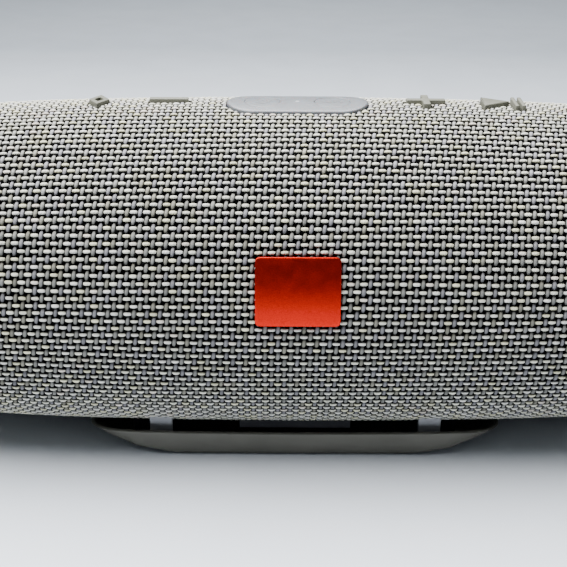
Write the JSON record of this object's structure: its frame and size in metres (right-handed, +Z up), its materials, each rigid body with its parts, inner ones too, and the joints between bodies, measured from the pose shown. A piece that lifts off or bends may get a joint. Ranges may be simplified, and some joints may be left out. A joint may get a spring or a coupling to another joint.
{
  "type": "portable bluetooth speaker",
  "caption": "Barrel-shaped portable speaker in woven fabric, with a red front badge, raised keys on top, a rear port door and a rubber foot.",
  "frame": {"origin": "on the surface that the foot stands on, under the middle of the barrel", "axes": "+Z up, the barrel lies along X, the badge faces -Y and the port door +Y"},
  "size_m": [0.213, 0.089, 0.089],
  "materials": {
    "woven_fabric": "woven, matte",
    "grey_rubber": "matte",
    "foot_rubber": "matte",
    "panel_rubber": "satin",
    "red_badge": "satin anodised",
    "clip_plastic": "matte",
    "smoked_window": "gloss",
    "black_plastic": "matte",
    "aluminium": "brushed",
    "steel": "plated",
    "ferrite": "sintered",
    "cone": "matte",
    "circuit_board": "solder mask",
    "battery_wrap": "shrink wrap",
    "lead_sleeve": "sleeved"
  },
  "bodies": {
    "speaker": {"aux_jack": "black_plastic", "badge": "red_badge", "base_plinth": "black_plastic", "battery_bracket": "black_plastic", "battery_lead": "lead_sleeve", "battery_pack": "battery_wrap", "battery_window": "smoked_window", "board_shield": "steel", "button_board": "circuit_board", "control_panel": "panel_rubber", "driver_basket_left": "black_plastic", "driver_basket_right": "black_plastic", "driver_lead_left": "lead_sleeve", "driver_lead_right": "lead_sleeve", "driver_magnet_left": "ferrite", "driver_magnet_right": "ferrite", "driver_surround_left": "grey_rubber", "driver_surround_right": "grey_rubber", "enclosure_front": "black_plastic", "enclosure_rear": "black_plastic", "end_ring_left": "grey_rubber", "end_ring_right": "grey_rubber", "fabric_cover": "woven_fabric", "foot": "foot_rubber", "foot_clip_1": "clip_plastic", "foot_clip_2": "clip_plastic", "foot_clip_3": "clip_plastic", "foot_clip_4": "clip_plastic", "gauge_board": "circuit_board", "grille_core": "black_plastic", "link_switch": "black_plastic", "main_board": "circuit_board", "micro_usb_socket": "steel", "minus_switch": "black_plastic", "pair_switch": "black_plastic", "play_switch": "black_plastic", "plinth_screw_1": "steel", "plinth_screw_2": "steel", "plinth_screw_3": "steel", "plinth_screw_4": "steel", "plus_switch": "black_plastic", "port_board": "circuit_board", "port_tray": "grey_rubber", "power_switch": "black_plastic", "radiator_frame_left": "black_plastic", "radiator_frame_right": "black_plastic", "radiator_surround_left": "grey_rubber", "radiator_surround_right": "grey_rubber", "usb_a_socket": "steel"},
    "pair_key": {"pair_button": "grey_rubber"},
    "minus_key": {"minus_button": "grey_rubber"},
    "power_key": {"power_button": "panel_rubber"},
    "link_key": {"link_button": "panel_rubber"},
    "plus_key": {"plus_button": "grey_rubber"},
    "play_key": {"play_button": "grey_rubber"},
    "door": {"port_door": "grey_rubber"},
    "left_driver_cone": {"driver_cone_left": "cone"},
    "left_radiator": {"radiator_disc_left": "aluminium"},
    "right_driver_cone": {"driver_cone_right": "cone"},
    "right_radiator": {"radiator_disc_right": "aluminium"}
  },
  "joints": [
    {"name": "pair_press", "type": "slide", "parent": "speaker", "child": "pair_key", "axis": [0, 0, -1], "range_m": [0, 0.0008], "stiffness_N_per_m": 800, "springref_m": -0.0005},
    {"name": "minus_press", "type": "slide", "parent": "speaker", "child": "minus_key", "axis": [0, 0, -1], "range_m": [0, 0.0008], "stiffness_N_per_m": 800, "springref_m": -0.0005},
    {"name": "power_press", "type": "slide", "parent": "speaker", "child": "power_key", "axis": [0, 0, -1], "range_m": [0, 0.0008], "stiffness_N_per_m": 800, "springref_m": -0.0005},
    {"name": "link_press", "type": "slide", "parent": "speaker", "child": "link_key", "axis": [0, 0, -1], "range_m": [0, 0.0008], "stiffness_N_per_m": 800, "springref_m": -0.0005},
    {"name": "plus_press", "type": "slide", "parent": "speaker", "child": "plus_key", "axis": [0, 0, -1], "range_m": [0, 0.0008], "stiffness_N_per_m": 800, "springref_m": -0.0005},
    {"name": "play_press", "type": "slide", "parent": "speaker", "child": "play_key", "axis": [0, 0, -1], "range_m": [0, 0.0008], "stiffness_N_per_m": 800, "springref_m": -0.0005},
    {"name": "door_hinge", "type": "hinge", "parent": "speaker", "child": "door", "pos_m": [0, 0.0423, 0.035], "axis": [-1, 0, 0], "range_deg": [0, 110]},
    {"name": "left_cone_travel", "type": "slide", "parent": "speaker", "child": "left_driver_cone", "axis": [0, -0.9755, 0.2198], "range_m": [-0.0015, 0.0015], "stiffness_N_per_m": 1200, "deforming": ["driver_surround_left"]},
    {"name": "left_radiator_travel", "type": "slide", "parent": "speaker", "child": "left_radiator", "axis": [-1, 0, 0], "range_m": [-0.003, 0.003], "stiffness_N_per_m": 900, "deforming": ["radiator_surround_left"]},
    {"name": "right_cone_travel", "type": "slide", "parent": "speaker", "child": "right_driver_cone", "axis": [0, -0.9755, 0.2198], "range_m": [-0.0015, 0.0015], "stiffness_N_per_m": 1200, "deforming": ["driver_surround_right"]},
    {"name": "right_radiator_travel", "type": "slide", "parent": "speaker", "child": "right_radiator", "axis": [1, 0, 0], "range_m": [-0.003, 0.003], "stiffness_N_per_m": 900, "deforming": ["radiator_surround_right"]}
  ]
}
